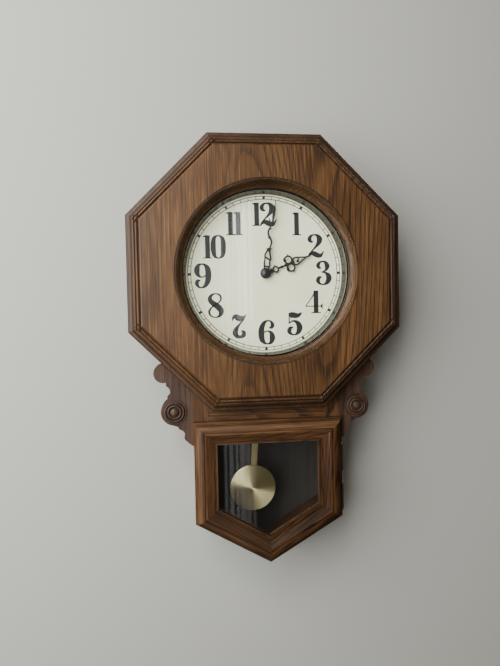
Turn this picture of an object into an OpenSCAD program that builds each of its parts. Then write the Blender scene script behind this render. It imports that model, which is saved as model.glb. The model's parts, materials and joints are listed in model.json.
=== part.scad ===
// Schoolhouse wall clock: octagonal front over a drop box with a pendulum.
// X is to the right, Y goes into the wall, Z is up, in millimetres.
// The origin is the hanger's round hole, on the wall plane.
// Heights called "rel" are measured from the dial's axis, and distances
// called "out" are measured from the wall towards the room.

/* [Case] */
// Width of the octagonal front across its flats
octagon_w = 420; // [416:1:424]
// Distance from the wall to the octagon's front face
case_depth = 125; // [125:1:128]
// Height of the hanger hole above the dial's axis
hanger_rise = 105; // [100:1:108]
// Thickness of the octagonal front panel
panel_t = 22; // [22:1:23]
// Half width of the square drum behind the front
drum_half = 146; // [145:0.5:146.5]
// Thickness of the case boards
board_t = 12; // [11:0.5:12]

/* [Drop box] */
// Half width of the drop box and its door
box_half = 116.8; // [116:0.1:117]
// Height of the box's shoulders below the dial's axis
shoulder_drop = 387.5; // [384:0.5:392]
// Distance from the wall to the face frame's front
face_out = 86; // [86:0.5:86.2]
// Width of the face frame's stiles
face_stile_w = 24; // [22:0.5:26]

/* [Lower door] */
// Top edge of the lower door below the dial's axis
door_top_drop = 229; // [227:0.5:232]
// Thickness of the lower door
door_t = 20; // [19.5:0.5:20.5]
// Width of the lower door's rails
rail_w = 35.8; // [35.8:0.1:38]

/* [Round opening] */
// Radius of the round opening at the octagon's face
opening_r = 139.7; // [139:0.1:142]
// Radius of the wooden lip in front of the glass
lip_r = 128.5; // [128.3:0.1:129]
// Radius of the upper glass
glass_r = 134; // [133:0.1:134.2]

/* [Dial and hands] */
// Distance from the wall to the dial's face
dial_out = 88.6; // [88.6:0.1:88.8]
// Radius of the dial that shows inside the ring
dial_r = 122.8; // [122:0.1:123]
// Length of the minute hand
minute_len = 115; // [110:0.5:118]
// Length of the hour hand
hour_len = 80; // [78:0.5:84]
// Minute hand's clockwise angle from twelve at rest
minute_angle = 9; // [0:1:359]
// Hour hand's clockwise angle from twelve at rest
hour_angle = 69; // [0:1:359]

/* [Pendulum] */
// Height of the pendulum's pivot below the dial's axis
pivot_drop = 30; // [30:0.5:31]
// Distance from the pivot to the bob's centre
pendulum_len = 319.5; // [310:0.5:325]
// Diameter of the bob
bob_d = 76; // [70:0.5:80]
// Tilt of the pendulum at rest, towards the viewer's left
pendulum_tilt = 4; // [0:0.5:6]

/* [Hidden] */
$fn = 96;

// Timber and metal colours
oak = [0.55, 0.33, 0.16];
oak_dark = [0.42, 0.25, 0.14];
brass_colour = [0.80, 0.68, 0.42];
steel_colour = [0.62, 0.63, 0.65];
glass_colour = [0.80, 0.88, 0.90, 0.35];
hand_colour = [0.10, 0.10, 0.12];

// Small distances
eps = 0.5;
run_gap = 0.05;

// Octagon
octagon_half = octagon_w / 2;
panel_back = case_depth - panel_t;
drum_front = panel_back - 1;
drum_inner = drum_half - board_t;
ledge = 6;
corner_cut = 30;

// Drop box: its lower sides slope at 30 degrees to a point
slope = 30;
door_back = face_out + 1;
door_front = door_back + door_t;
box_side_out = face_out - board_t;
box_top_rel = -drum_inner;
rail_top_rel = -drum_half - 2;
rail_bottom_rel = -door_top_drop - 7;

// Back panel
back_in = 2;
back_t = 4;

// Glass in the front panel and in the lower door
glass_t = 2.5;
rabbet_r = 134.5;
upper_glass_out = panel_back + 1.6;
door_glass_out = door_back + 2;
door_glass_inset = 30.3;
stop_w = 7;

// Dial
dial_t = 1.6;
dial_board_t = 6;
dial_board_out = dial_out - dial_t - dial_board_t;
ring_rim = panel_back + 0.6;

// Scroll brackets and rosettes
bracket_t = 19;
bracket_out = face_out - 4;
rosette_x = 145.7;
rosette_rel = -213.3;
rosette_r = 19;

// Hinges
knuckle_r = 2.5;
leaf_t = 1.2;
leaf_w = 19;
door_leaf_w = 9.4;
hinge_len = 42;
hinge_gap = 0.3;
hinge_pin_r = 1.2;
top_hinge_x = drum_half + knuckle_r;
top_hinge_out = panel_back - knuckle_r;
top_hinge_rel = [-60, 60];
low_hinge_x = box_half + knuckle_r;
low_hinge_out = (face_out + door_back) / 2;
low_hinge_rel = [-358, -295];

// Access cover, hanger plate and screws
cover_at = [6, -40];
cover_hole = 64;
cover_w = 84;
cover_t = 1.6;
hanger_hole_r = 5;
hanger_slot_r = 2.5;
hanger_slot_rise = 11;
hanger_screw_x = 24;
screw_r = 1.5;
head_r = 2.8;
head_t = 1.2;
board_screw_tip = dial_board_out - 8;

// Magnetic catches
magnet_depth = 6;
top_magnet_r = 2.4;
low_magnet_r = 4;

// Movement case
move_back = 58;
move_front = dial_board_out;
move_wall = 1.6;
move_split = 70;
move_half = 38;
move_top_rel = 36;
move_bottom_rel = -76;

// Gear train: modules and teeth
fine = 0.5;
finer = 0.4;
centre_teeth = 64;
third_pinion = 8;
third_teeth = 60;
seconds_pinion = 8;
seconds_teeth = 50;
inter_pinion = 10;
inter_teeth = 48;
rotor_pinion = 8;
cannon_teeth = 10;
minute_teeth = 30;
minute_pinion = 8;
hour_teeth = 32;
set_teeth = 12;

// Directions from each arbor to the next, in degrees from +X towards +Z
dir_third = 150;
dir_seconds = -95;
dir_inter = -95;
dir_rotor = -150;
dir_minute = -60;

function step(p, dir, dist) = [p[0] + dist * cos(dir), p[1] + dist * sin(dir)];
function mesh(a, b, m) = (a + b) * m / 2;

// Arbor places in X and rel
centre_at = [0, 0];
third_at = step(centre_at, dir_third, mesh(centre_teeth, third_pinion, fine));
seconds_at = step(third_at, dir_seconds, mesh(third_teeth, seconds_pinion, fine));
inter_at = step(seconds_at, dir_inter, mesh(seconds_teeth, inter_pinion, finer));
rotor_at = step(inter_at, dir_rotor, mesh(inter_teeth, rotor_pinion, finer));
minute_at = step(centre_at, dir_minute, mesh(cannon_teeth, minute_teeth, fine));
set_at = step(minute_at, dir_minute, mesh(minute_teeth, set_teeth, fine));

// Pivots and shafts
pivot_r = 0.6;
minute_shaft_r = 1.5;
hour_pipe_r = 2.5;
bush_r = 4;
bush_bore = hour_pipe_r + run_gap;
post_r = 1;
set_shaft_r = 1.2;
hanger_pin_r = 1.2;
battery_at = [27.5, -36];
drive_coil_rel = -66;
knob_low = move_back - 7.4;

// Hands: distances from the wall to the back of each
hand_t = 1;
hub_low = dial_out + 3.4;
hub_high = hub_low + 3.6;

// Pendulum: suspension lever, its hook and the flat rod
lever_low = move_back - 4.4;
lever_high = move_back - 1.2;
hook_drop = 52;
magnet_drop = -drive_coil_rel - pivot_drop;
rod_t = 0.8;

// Door rail's outer edge
ovolo = 9;
quirk = 2.6;

// Turn that puts a gap of the driven gear opposite a tooth that points at it
function facing(dir, teeth) = dir + 180 + 180 / teeth;

// The same for a gear driven by one that already sits at a known phase
function carried(dir, phase, teeth, next_teeth) =
    let (
        pitch = 360 / teeth,
        rest = (dir - phase) % pitch,
        off = rest < 0 ? rest + pitch : rest
    )
    facing(dir, next_teeth) + off * teeth / next_teeth;

hour_phase = facing(dir_minute + 180, hour_teeth);
minute_phase = facing(dir_minute, minute_teeth);
set_phase = carried(dir_minute, minute_phase, minute_teeth, set_teeth);

// ---------- helpers ----------

// Extrudes outlines drawn in X and Z between two distances from the wall
module slab(low, high) {
    translate([0, -low, 0])
        rotate([90, 0, 0])
            for (i = [0 : $children - 1])
                linear_extrude(high - low)
                    children(i);
}

// Turns a profile drawn as (radius, distance from the wall) about the Y axis
module turned() {
    rotate([90, 0, 0])
        rotate_extrude()
            children();
}

// Moves from the dial's axis to the part's origin
module on_axis() {
    translate([0, 0, -hanger_rise])
        children();
}

// Moves to a place given as [x, rel]
module at(p) {
    translate([p[0], 0, p[1] - hanger_rise])
        children();
}

// Runs profiles, drawn as (distance inwards, distance from the wall), along
// the straight side through p whose inward normal is at the given angle
module along_side(p, normal, length) {
    translate([p[0], 0, p[1]])
        rotate([0, -normal, 0])
            rotate([180, 0, 0])
                translate([0, 0, -length / 2])
                    for (i = [0 : $children - 1])
                        linear_extrude(length)
                            children(i);
}

// A round rod along Y
module rod(low, high, r) {
    slab(low, high)
        circle(r);
}

// ---------- octagonal front ----------

module octagon_2d(half) {
    intersection() {
        square(2 * half, center = true);
        rotate(45)
            square(2 * half, center = true);
    }
}

// Waste of the moulded edge: bullnose, cove, two beads and a quirk
module edge_waste() {
    nose = 3;
    cove = 6.5;
    low = panel_back + 3.5;
    band = 23.5;
    difference() {
        translate([-nose, panel_back - nose])
            square([band + nose, panel_t + 2 * nose]);
        difference() {
            union() {
                translate([nose, low])
                    circle(nose);
                polygon([
                    [0, panel_back - 2 * nose], [0, low], [nose, low + nose],
                    [nose, low + nose + cove], [nose + cove, low + nose + cove],
                    [10.7, low + 9.5], [10.7, low + 10.3], [14.8, low + 11.4],
                    [14.8, low + 13.1], [19.8, low + 14], [20.8, low + 13.6],
                    [21.4, case_depth - 1.2], [band, case_depth],
                    [band + 1, case_depth], [band + 1, panel_back - 2 * nose]
                ]);
                translate([12.7, low + 10.3])
                    circle(2);
                translate([17.3, low + 13.1])
                    circle(2.5);
            }
            translate([nose, low + nose + cove])
                circle(cove);
        }
    }
}

// Cutter for the round opening: face step, cove, lip and glass rabbet
module opening_profile() {
    face_step = 1.5;
    cove = 13;
    polygon([
        [0, panel_back - 1], [rabbet_r, panel_back - 1],
        [rabbet_r, upper_glass_out + glass_t], [lip_r, upper_glass_out + glass_t],
        [lip_r, upper_glass_out + glass_t + 3], [lip_r + 1.5, upper_glass_out + glass_t + 3],
        [lip_r + 1.5, case_depth - face_step], [opening_r, case_depth - face_step],
        [opening_r, case_depth + 1], [0, case_depth + 1]
    ]);
    translate([opening_r - 2.2 - cove, case_depth - face_step])
        circle(cove);
}

module octagon_frame() {
    side = 2 * octagon_half * tan(22.5);
    color(oak)
        on_axis()
            difference() {
                slab(panel_back, case_depth)
                    octagon_2d(octagon_half);
                for (turn = [0 : 45 : 315])
                    along_side([-octagon_half * cos(turn), -octagon_half * sin(turn)], turn,
                        side + corner_cut)
                        edge_waste();
                turned()
                    opening_profile();
            }
}

module bezel_glass() {
    color(glass_colour)
        on_axis()
            rod(upper_glass_out, upper_glass_out + glass_t, glass_r);
}

module glass_retaining_ring() {
    color(oak_dark)
        on_axis()
            slab(panel_back + 0.1, upper_glass_out)
                difference() {
                    circle(rabbet_r - 0.1);
                    circle(129);
                }
}

// ---------- hinges ----------

// One leaf of a butt hinge about the Z axis. The leaf is tangent to the
// knuckle on its -X side and runs towards -Y. Its knuckles sit on every
// second third of the length, starting at the given one.
module leaf(width, parts, bore) {
    third = hinge_len / 3;
    clear = knuckle_r + hinge_gap;
    difference() {
        union() {
            translate([-knuckle_r, -width, -hinge_len / 2])
                cube([leaf_t, width - clear, hinge_len]);
            for (k = parts)
                translate([0, 0, -hinge_len / 2 + k * third + hinge_gap / 2]) {
                    cylinder(h = third - hinge_gap, r = knuckle_r);
                    translate([-knuckle_r, -clear - eps, 0])
                        cube([leaf_t, clear + eps, third - hinge_gap]);
                }
        }
        translate([0, 0, -hinge_len])
            cylinder(h = 2 * hinge_len, r = bore);
    }
}

// Places a child at each hinge of the octagon and of the lower door
module at_top_hinges() {
    for (h = top_hinge_rel)
        translate([top_hinge_x, -top_hinge_out, h - hanger_rise])
            children();
}

module at_low_hinges() {
    for (h = low_hinge_rel)
        translate([low_hinge_x, -low_hinge_out, h - hanger_rise])
            children();
}

module case_hinge_leaves() {
    color(brass_colour) {
        at_top_hinges()
            mirror([0, 1, 0])
                leaf(leaf_w, [0, 2], hinge_pin_r);
        at_low_hinges()
            mirror([0, 1, 0])
                leaf(leaf_w, [0, 2], hinge_pin_r);
    }
}

module octagon_hinge_leaves() {
    color(brass_colour)
        at_top_hinges()
            rotate([0, 0, 90])
                leaf(leaf_w, [1], hinge_pin_r + run_gap);
}

module door_hinge_leaves() {
    color(brass_colour)
        at_low_hinges()
            leaf(door_leaf_w, [1], hinge_pin_r + run_gap);
}

module hinge_pins() {
    head = 0.8;
    color(brass_colour) {
        at_top_hinges()
            hinge_pin(head);
        at_low_hinges()
            hinge_pin(head);
    }
}

module hinge_pin(head) {
    cylinder(h = hinge_len, r = hinge_pin_r, center = true);
    for (end = [-1, 1])
        translate([0, 0, end * (hinge_len / 2 + head / 2)])
            cylinder(h = head, r = 1.9, center = true);
}

// ---------- drum and drop box ----------

// A drum board with a ledge cut along its front inner edge for the dial board
module drum_board(x0, x1, z0, z1) {
    color(oak)
        on_axis()
            difference() {
                translate([x0, -drum_front, z0])
                    cube([x1 - x0, drum_front, z1 - z0]);
                slab(dial_board_out, drum_front + 1)
                    square(2 * (drum_inner + ledge), center = true);
                translate([0, 0, hanger_rise]) {
                    at_board_screws()
                        rod(board_screw_tip, dial_board_out + 1, screw_r);
                    at_top_catch()
                        rod(drum_front - magnet_depth, drum_front + 1, top_magnet_r);
                }
            }
}

module drum_top() {
    drum_board(-drum_half, drum_half, drum_inner, drum_half);
}

module drum_left() {
    drum_board(-drum_half, -drum_inner, -drum_inner, drum_inner);
}

module drum_right() {
    drum_board(drum_inner, drum_half, -drum_inner, drum_inner);
}

module drum_bottom_boards() {
    drum_board(-drum_half, -box_half, -drum_half, -drum_inner);
    drum_board(box_half, drum_half, -drum_half, -drum_inner);
}

// Corner i of the drop outline, inset by t: top left, top right, right
// shoulder, point, left shoulder
function drop_outline(half, top, t) = [
    [-(half - t), top - t],
    [half - t, top - t],
    [half - t, -shoulder_drop + t * tan(slope)],
    [0, -shoulder_drop - half * tan(slope) + t / cos(slope)],
    [-(half - t), -shoulder_drop + t * tan(slope)]
];

module box_side(side) {
    outer = drop_outline(box_half, box_top_rel, 0);
    inner = drop_outline(box_half, box_top_rel, board_t);
    color(oak)
        on_axis()
            slab(0, box_side_out)
                mirror([side < 0 ? 1 : 0, 0])
                    polygon([outer[1], outer[2], inner[2], [inner[1][0], outer[1][1]]]);
}

module box_left_side() {
    box_side(-1);
}

module box_right_side() {
    box_side(1);
}

module box_bottom(side) {
    outer = drop_outline(box_half, box_top_rel, 0);
    inner = drop_outline(box_half, box_top_rel, board_t);
    color(oak)
        on_axis()
            slab(0, face_out)
                mirror([side < 0 ? 1 : 0, 0])
                    polygon([outer[2], outer[3], inner[3], inner[2]]);
}

module box_bottom_left() {
    box_bottom(-1);
}

module box_bottom_right() {
    box_bottom(1);
}

// Face frame stile, planted on the edge of the box side
module face_stile(side) {
    low = -shoulder_drop + board_t * tan(slope);
    color(oak)
        difference() {
            on_axis()
                slab(box_side_out, face_out)
                    mirror([side < 0 ? 1 : 0, 0])
                        polygon([
                            [box_half, rail_top_rel], [box_half, low - board_t * tan(slope)],
                            [box_half - board_t, low],
                            [
                                box_half - face_stile_w,
                                low - (face_stile_w - board_t) * tan(slope)
                            ],
                            [box_half - face_stile_w, rail_top_rel]
                        ]);
            at_low_catch()
                rod(face_out - magnet_depth, face_out + 1, low_magnet_r);
        }
}

module face_left_stile() {
    face_stile(-1);
}

module face_right_stile() {
    face_stile(1);
}

// Rail across the throat, with two quirks between the octagon and the lower door
module throat_rail() {
    half = box_half - face_stile_w;
    quirk_w = 1.4;
    quirk_depth = 1;
    color(oak)
        on_axis()
            difference() {
                slab(box_side_out, face_out)
                    translate([-half, rail_bottom_rel])
                        square([2 * half, rail_top_rel - rail_bottom_rel]);
                for (above_door = [7.6, 13])
                    slab(face_out - quirk_depth, face_out + 1)
                        translate([-half - 1, above_door - door_top_drop])
                            square([2 * half + 2, quirk_w]);
            }
}

// ---------- scroll brackets ----------

// Sawn bracket, notched at its inner top corner round the drum
module bracket(side) {
    back = bracket_out - bracket_t;
    color(oak_dark)
        on_axis()
            mirror([side < 0 ? 1 : 0, 0, 0])
                difference() {
                    slab(back, bracket_out) {
                        translate([162, -152.5])
                            circle(15);
                        translate([rosette_x, rosette_rel])
                            circle(rosette_r + 2.3);
                        polygon([
                            [box_half, -130], [150, -130], [160, -140], [158, -172],
                            [156, -195], [150, -234], [141, -237], [139, -241],
                            [134, -243], [131, -257], [126, -262], [121, -266],
                            [box_half, -269]
                        ]);
                    }
                    slab(back - 1, bracket_out + 1) {
                        translate([161.5, -181.5])
                            circle(9.5);
                        translate([138.5, -250.5])
                            circle(8.3);
                        translate([0, -drum_half])
                            square(drum_half);
                    }
                }
}

module left_scroll_bracket() {
    bracket(-1);
}

module right_scroll_bracket() {
    bracket(1);
}

// Turned rosette: a flat rim, two beads, a hollow and a button
module rosette_profile() {
    base = bracket_out;
    difference() {
        union() {
            translate([0, base])
                square([rosette_r, 1.6]);
            translate([0, base])
                square([16.2, 2.4]);
            translate([14.3, base + 2.4])
                circle(1.9);
            translate([9.8, base + 3])
                circle(2.2);
            intersection() {
                translate([0, base - 4])
                    circle(11);
                translate([0, base])
                    square([6.4, 8]);
            }
            translate([0, base])
                square([9.8, 3]);
        }
        translate([-10, base - 10])
            square([10, 30]);
        translate([-1, base - 10])
            square([30, 10]);
    }
}

module rosette(side) {
    at([side * rosette_x, rosette_rel])
        turned()
            rosette_profile();
}

module bracket_rosettes() {
    color(oak_dark) {
        rosette(-1);
        rosette(1);
    }
}

// ---------- back ----------

// Keyhole: a round hole with a slot above it
module keyhole_2d(grow) {
    circle(hanger_hole_r + grow);
    translate([0, hanger_slot_rise])
        circle(hanger_slot_r + grow);
    translate([-hanger_slot_r - grow, 0])
        square([2 * (hanger_slot_r + grow), hanger_slot_rise]);
}

module back_panel() {
    inner = drop_outline(box_half, -drum_inner, board_t);
    color(oak)
        difference() {
            on_axis()
                slab(back_in, back_in + back_t)
                    difference() {
                        polygon([
                            [-drum_inner, drum_inner], [drum_inner, drum_inner],
                            [drum_inner, -drum_inner], [inner[1][0], -drum_inner],
                            inner[2], inner[3], inner[4],
                            [inner[0][0], -drum_inner], [-drum_inner, -drum_inner]
                        ]);
                        translate(cover_at)
                            square(cover_hole, center = true);
                    }
            slab(back_in - 1, back_in + back_t + 1)
                keyhole_2d(2);
            at_case_screws()
                rod(back_in - 1, back_in + back_t + 1, screw_r);
        }
}

module access_cover() {
    color("dimgray")
        difference() {
            at(cover_at)
                slab(back_in - cover_t, back_in)
                    square(cover_w, center = true);
            at_cover_screws() {
                rod(-1, back_in + 1, screw_r);
                rod(-1, head_t, head_r);
            }
        }
}

module hanger_plate() {
    plate_w = 64;
    plate_h = 34;
    color(steel_colour)
        difference() {
            slab(0, back_in)
                difference() {
                    translate([-plate_w / 2, -13])
                        square([plate_w, plate_h]);
                    keyhole_2d(0);
                }
            at_hanger_screws() {
                rod(-1, back_in + 1, screw_r);
                rod(-1, head_t, head_r);
            }
        }
}

module at_cover_screws() {
    reach = cover_w / 2 - 5;
    for (x = [-reach, reach], z = [-reach, reach])
        at([cover_at[0] + x, cover_at[1] + z])
            children();
}

module at_hanger_screws() {
    for (x = [-hanger_screw_x, hanger_screw_x])
        translate([x, 0, 4])
            children();
}

module at_case_screws() {
    at_cover_screws()
        children();
    at_hanger_screws()
        children();
}

module at_board_screws() {
    reach = drum_inner + ledge / 2;
    for (x = [-reach, reach], z = [-100, 100])
        at([x, z])
            children();
}

// Slotted flat-head screw with its head at one end and its tip at the other
module wood_screw(head_out, tip_out) {
    slot = 0.7;
    low = head_out < tip_out ? head_out : head_out - head_t;
    difference() {
        union() {
            rod(low, low + head_t, head_r);
            rod(min(head_out, tip_out), max(head_out, tip_out), screw_r);
        }
        translate([-head_r - 1, -head_out - slot / 2, -slot / 2])
            cube([2 * head_r + 2, slot, slot]);
    }
}

module case_screws() {
    color(steel_colour) {
        at_cover_screws()
            wood_screw(0, back_in + back_t + 3);
        at_hanger_screws()
            wood_screw(0, back_in + back_t + 4);
        at_board_screws()
            wood_screw(dial_board_out + dial_board_t + head_t, board_screw_tip);
    }
}

module at_top_catch() {
    at([-drum_half + ledge / 2, 0])
        children();
}

module at_low_catch() {
    at([-box_half + face_stile_w / 2, -300])
        children();
}

// Magnets that hold the two doors shut, just proud of the wood
module catch_magnets() {
    proud = 0.7;
    color(steel_colour) {
        at_top_catch()
            rod(drum_front - magnet_depth, drum_front + proud, top_magnet_r);
        at_low_catch()
            rod(face_out - magnet_depth, face_out + proud, low_magnet_r);
    }
}

// ---------- dial ----------

module dial_board() {
    color("burlywood")
        on_axis()
            difference() {
                slab(dial_board_out, dial_board_out + dial_board_t)
                    difference() {
                        square(2 * (drum_inner + ledge) - 0.6, center = true);
                        circle(bush_r + 0.3);
                    }
                translate([0, 0, hanger_rise])
                    at_board_screws()
                        rod(dial_board_out - 1, dial_out, screw_r);
            }
}

module dial_plate() {
    color([0.88, 0.87, 0.80])
        on_axis()
            slab(dial_out - dial_t, dial_out)
                difference() {
                    circle(132);
                    circle(bush_r + 0.2);
                }
}

// Sight ring: a flange on the dial and a cone out to a rolled rim
module dial_ring() {
    color(brass_colour)
        on_axis()
            turned() {
                polygon([
                    [dial_r, dial_out], [131.5, dial_out], [131.5, dial_out + 1],
                    [dial_r + 2.4, dial_out + 1], [dial_r + 4.8, ring_rim - 1],
                    [dial_r + 3.6, ring_rim - 1]
                ]);
                translate([dial_r + 4.3, ring_rim - 0.9])
                    circle(0.9);
            }
}

// ---------- lower door ----------

// Section of a door rail: quirk, chord of the ovolo, groove, slope and lip
module rail_section() {
    lip_out = door_front - 10;
    rabbet_out = door_glass_out + glass_t;
    polygon([
        [0, door_back], [0, door_front - ovolo - 2], [quirk, door_front - ovolo - 2],
        [quirk, door_front - ovolo], [quirk + ovolo, door_front], [14.6, door_front],
        [15.6, door_front - 2.2], [17.4, door_front - 2.2],
        [18.4, door_front - 1.2], [19.6, door_front - 1.6],
        [30.2, door_front - 6.4], [31, door_front - 8.4],
        [32.4, door_front - 8.4], [33, lip_out], [rail_w, lip_out],
        [rail_w, rabbet_out], [door_glass_inset, rabbet_out],
        [door_glass_inset, door_back]
    ]);
}

// Quarter round on the outer edge of a door rail
module rail_ovolo() {
    intersection() {
        translate([quirk + ovolo, door_front - ovolo])
            circle(ovolo);
        translate([quirk, door_front - ovolo])
            square([ovolo + 1, ovolo]);
    }
}

// Mitred rail number i of the door, between corners i and i + 1
module door_rail(i) {
    outer = drop_outline(box_half, -door_top_drop, 0);
    inner = drop_outline(box_half, -door_top_drop, rail_w);
    j = (i + 1) % 5;
    run = outer[j] - outer[i];
    middle = (outer[i] + outer[j]) / 2;
    normal = atan2(run[1], run[0]) - 90;
    color(oak)
        on_axis()
            intersection() {
                along_side(middle, normal, norm(run) + corner_cut) {
                    rail_section();
                    rail_ovolo();
                }
                slab(door_back - 1, door_front + 1)
                    polygon([outer[i], outer[j], inner[j], inner[i]]);
            }
}

module door_top_rail() {
    door_rail(0);
}

module door_right_stile() {
    door_rail(1);
}

module door_lower_right_rail() {
    door_rail(2);
}

module door_lower_left_rail() {
    door_rail(3);
}

module door_left_stile() {
    door_rail(4);
}

module door_glass() {
    color(glass_colour)
        on_axis()
            slab(door_glass_out, door_glass_out + glass_t)
                polygon(drop_outline(box_half, -door_top_drop, door_glass_inset + 0.3));
}

// Thin strips behind the glass, one for each side
module door_glass_stops() {
    outer = drop_outline(box_half, -door_top_drop, door_glass_inset);
    inner = drop_outline(box_half, -door_top_drop, door_glass_inset + stop_w);
    color(oak_dark)
        on_axis()
            for (i = [0 : 4])
                slab(door_back, door_glass_out)
                    polygon([
                        outer[i], outer[(i + 1) % 5], inner[(i + 1) % 5], inner[i]
                    ]);
}

// ---------- gears ----------

// Angle in degrees swept by an involute from its base circle to radius r
function involute(base, r) =
    r <= base ? 0 : sqrt(pow(r / base, 2) - 1) * 180 / PI - acos(base / r);

// Half the angle of a tooth at radius r
function half_tooth(teeth, m, r, slack) =
    let (pitch = teeth * m / 2, base = pitch * cos(20))
    max(0.1, slack * 90 / teeth + involute(base, pitch) - involute(base, max(r, base)));

// Spur gear outline with its first tooth on +X. Slack thins the teeth.
module gear_2d(teeth, m, slack = 0.78) {
    pitch = teeth * m / 2;
    root = pitch - 1.15 * m;
    tip = pitch + 0.85 * m;
    radii = [root, root + 0.3 * (tip - root), pitch, pitch + 0.45 * m, tip];
    polygon([
        for (i = [0 : teeth - 1])
            for (k = [-5 : 5])
                if (k != 0)
                    let (
                        r = radii[k < 0 ? k + 5 : 5 - k],
                        a = i * 360 / teeth + sign(k) * half_tooth(teeth, m, r, slack)
                    )
                    [r * cos(a), r * sin(a)]
    ]);
}

module gear(low, high, teeth, m, phase, bore = 0) {
    slab(low, high)
        difference() {
            rotate(phase)
                gear_2d(teeth, m);
            if (bore > 0)
                circle(bore);
        }
}

// Arbor with a thin pivot at each end
module arbor(low, high, r) {
    rod(low, high, pivot_r);
    rod(low + 1, high - 1, r);
}

// Minute wheel of the train with its cannon pinion and the minute arbor
module centre_wheel() {
    color("gold")
        on_axis() {
            gear(69.6, 71.2, centre_teeth, fine, dir_third);
            gear(71.2, 75, cannon_teeth, fine, dir_minute);
            rod(61.2, 71.2, minute_shaft_r);
            rod(60.2, 61.2, pivot_r);
            rod(75, hub_high + 3, minute_shaft_r);
        }
}

// Hour wheel with its pipe, which runs on the minute arbor
module hour_wheel() {
    color("gold")
        on_axis()
            difference() {
                union() {
                    gear(75.4, 77.2, hour_teeth, fine, hour_phase);
                    rod(75.4, hub_low + 1.6, hour_pipe_r);
                }
                rod(75, hub_low + 3, minute_shaft_r + run_gap);
            }
}

// Motion work wheel on a post between the cannon pinion and the hour wheel
module minute_wheel() {
    color("gold")
        at(minute_at)
            difference() {
                union() {
                    gear(72.4, 74.2, minute_teeth, fine, minute_phase);
                    gear(74.2, 77.4, minute_pinion, fine, dir_minute + 180);
                }
                rod(72, 78, post_r + run_gap);
            }
}

module third_wheel() {
    color("gold")
        at(third_at) {
            gear(66.6, 68, third_teeth, fine, dir_seconds);
            gear(68, 71.8, third_pinion, fine, facing(dir_third, third_pinion));
            arbor(64.4, 74, post_r);
        }
}

module seconds_wheel() {
    color("gold")
        at(seconds_at) {
            gear(63.8, 65.2, seconds_teeth, finer, dir_inter);
            gear(65.2, 68.6, seconds_pinion, fine, facing(dir_seconds, seconds_pinion));
            arbor(62.2, 74, 0.9);
        }
}

module intermediate_wheel() {
    color("gold")
        at(inter_at) {
            gear(61.8, 62.8, inter_teeth, finer, dir_rotor);
            gear(62.8, 65.8, inter_pinion, finer, facing(dir_inter, inter_pinion));
            arbor(60.6, 69, 0.9);
        }
}

module motor_rotor() {
    color("silver")
        at(rotor_at) {
            gear(61.4, 63.6, rotor_pinion, finer, facing(dir_rotor, rotor_pinion));
            rod(64, 67, 3);
            arbor(60.6, 69, 0.8);
        }
}

// Time setting knob behind the movement, on the shaft of its gear
module set_knob() {
    grips = 16;
    color("ivory")
        at(set_at) {
            gear(72.4, 74.2, set_teeth, fine, set_phase);
            rod(knob_low + 6, 76.4, set_shaft_r);
            slab(knob_low, move_back - 0.6)
                difference() {
                    circle(5.5);
                    for (i = [1 : grips])
                        rotate(i * 360 / grips)
                            translate([5.7, 0])
                                circle(0.6);
                }
        }
}

// ---------- movement ----------

module move_outline(inset) {
    translate([-move_half + inset, move_bottom_rel + inset])
        square([2 * (move_half - inset), move_top_rel - move_bottom_rel - 2 * inset]);
}

// Bearing boss with a blind hole for a pivot, opening at its inner end
module boss(p, wall_out, end_out, r, hole) {
    low = min(wall_out, end_out);
    high = max(wall_out, end_out);
    translate([p[0], 0, p[1]])
        slab(low, high)
            difference() {
                circle(r);
                circle(hole);
            }
}

module movement_front_case() {
    inner = move_front - move_wall;
    pivot_hole = pivot_r + run_gap;
    color("dimgray")
        on_axis() {
            difference() {
                slab(move_split, move_front)
                    move_outline(0);
                slab(move_split - 1, inner)
                    move_outline(move_wall);
                rod(inner - 1, move_front + 1, bush_r);
            }
            boss(third_at, inner, 73.1, 2, pivot_hole);
            boss(seconds_at, inner, 73.1, 2, pivot_hole);
            boss(inter_at, inner, 68.1, 2, pivot_hole);
            boss(rotor_at, inner, 68.1, 2, pivot_hole);
            boss(set_at, inner, 75, 2.4, set_shaft_r + run_gap);
            translate([minute_at[0], 0, minute_at[1]])
                rod(71.9, inner, post_r);
        }
}

module movement_back_case() {
    inner = move_back + move_wall;
    pivot_hole = pivot_r + run_gap;
    bay_w = 15.4;
    bay_h = 53;
    color("dimgray")
        on_axis() {
            difference() {
                slab(move_back, move_split)
                    move_outline(0);
                slab(inner, move_split + 1)
                    move_outline(move_wall);
                translate([set_at[0], 0, set_at[1]])
                    rod(move_back - 1, inner + 1, set_shaft_r + run_gap);
                slab(move_back - 1, inner + 1)
                    translate([battery_at[0] - bay_w / 2, battery_at[1] - bay_h / 2])
                        square([bay_w, bay_h]);
            }
            boss([0, 0], inner, 61.1, 2.2, pivot_hole);
            boss(third_at, inner, 65.3, 1.8, pivot_hole);
            boss(seconds_at, inner, 63.1, 1.4, pivot_hole);
            boss(inter_at, inner, 61.5, 2, pivot_hole);
            boss(rotor_at, inner, 61.2, 2, pivot_hole);
            translate([0, 0, -pivot_drop]) {
                rod(move_back - 8, move_back, hanger_pin_r);
                rod(move_back - 0.9, move_back, 2.4);
            }
        }
}

// Threaded bushing that clamps the movement to the dial
module movement_bushing() {
    flange_out = move_front - move_wall;
    color(brass_colour)
        on_axis()
            difference() {
                union() {
                    rod(flange_out - 1.2, flange_out, 6);
                    rod(flange_out - 1.2, dial_out + 2.9, bush_r);
                }
                rod(flange_out - 3, dial_out + 4, bush_bore);
            }
}

module bushing_nut() {
    color(brass_colour)
        on_axis()
            slab(dial_out, dial_out + 2.2)
                difference() {
                    circle(6.6, $fn = 6);
                    circle(bush_r);
                }
}

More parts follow.
